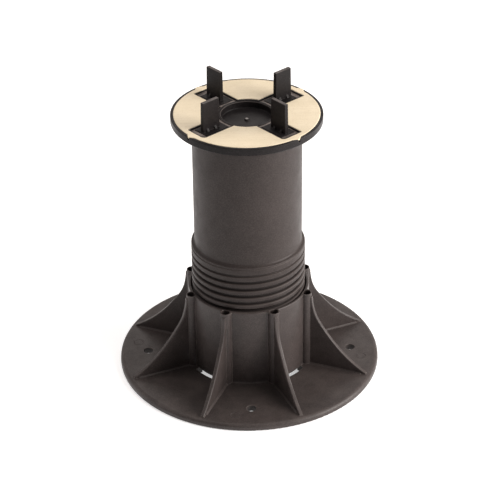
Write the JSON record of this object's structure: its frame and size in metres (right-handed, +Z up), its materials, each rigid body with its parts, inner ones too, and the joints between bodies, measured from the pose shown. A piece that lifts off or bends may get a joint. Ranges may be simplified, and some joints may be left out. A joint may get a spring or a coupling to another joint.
{
  "type": "adjustable deck pedestal",
  "caption": "Screw-adjustable plastic pedestal: ribbed round base with threaded collar, hollow screw stem and a padded round head with upright spacer tabs, to carry paving or decking.",
  "frame": {"origin": "centre of the footprint on the ground", "axes": "+Z up along the screw axis, +X and +Y through the fixing holes"},
  "size_m": [0.2, 0.2, 0.2346],
  "materials": {
    "base_plastic": "fine moulded texture, satin",
    "stem_plastic": "smooth satin",
    "head_plastic": "satin black",
    "tab_plastic": "satin black",
    "pad": "dull cream sheet"
  },
  "bodies": {
    "base": {"base": "base_plastic"},
    "head": {"head_plate": "head_plastic", "head_pad": "pad", "spacer_tab_back_right": "tab_plastic", "spacer_tab_back_left": "tab_plastic", "spacer_tab_front_left": "tab_plastic", "spacer_tab_front_right": "tab_plastic"},
    "stem": {"stem": "stem_plastic"}
  },
  "joints": [
    {"name": "head_lift", "type": "slide", "parent": "base", "child": "head", "axis": [0, 0, 1], "range_m": [-0.0341, 0.0181]},
    {"name": "stem_turn", "type": "hinge", "parent": "head", "child": "stem", "pos_m": [0, 0, 0], "axis": [0, 0, 1], "range_deg": [-2040, 1080]}
  ],
  "couplings": [
    {"joint": "head_lift", "follows": "stem_turn", "m_per_rad": 0.00095493}
  ]
}
